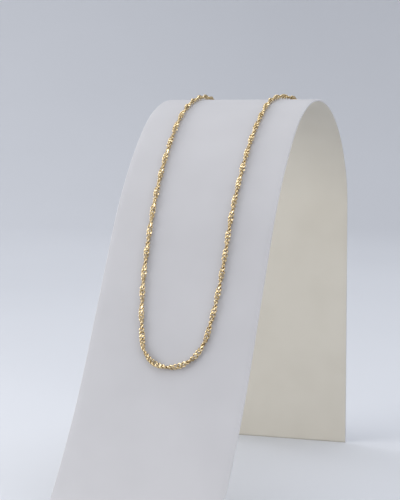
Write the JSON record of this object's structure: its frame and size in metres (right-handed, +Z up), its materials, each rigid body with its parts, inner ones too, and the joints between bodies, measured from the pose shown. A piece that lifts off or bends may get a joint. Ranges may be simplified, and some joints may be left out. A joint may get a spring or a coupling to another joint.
{
  "type": "singapore chain necklace on an arched card display stand",
  "caption": "Fine twisted curb-link neck chain with a spring-ring clasp, draped in a loop over an arched card display stand.",
  "frame": {"origin": "middle of the footprint, on the surface that the card stands on", "axes": "+Z up; -Y is the front, where the toe of the card lies and the chain's loop hangs; X runs along the crest of the arch"},
  "size_m": [0.05, 0.1736, 0.1214],
  "materials": {
    "card": "smooth matte white card, slightly translucent",
    "gold": "bright polished yellow gold with small diamond-cut facets"
  },
  "bodies": {
    "root": {"card_stand": "card", "chain": "gold", "clasp": "gold", "end_ring": "gold", "jump_ring": "gold"}
  },
  "joints": []
}
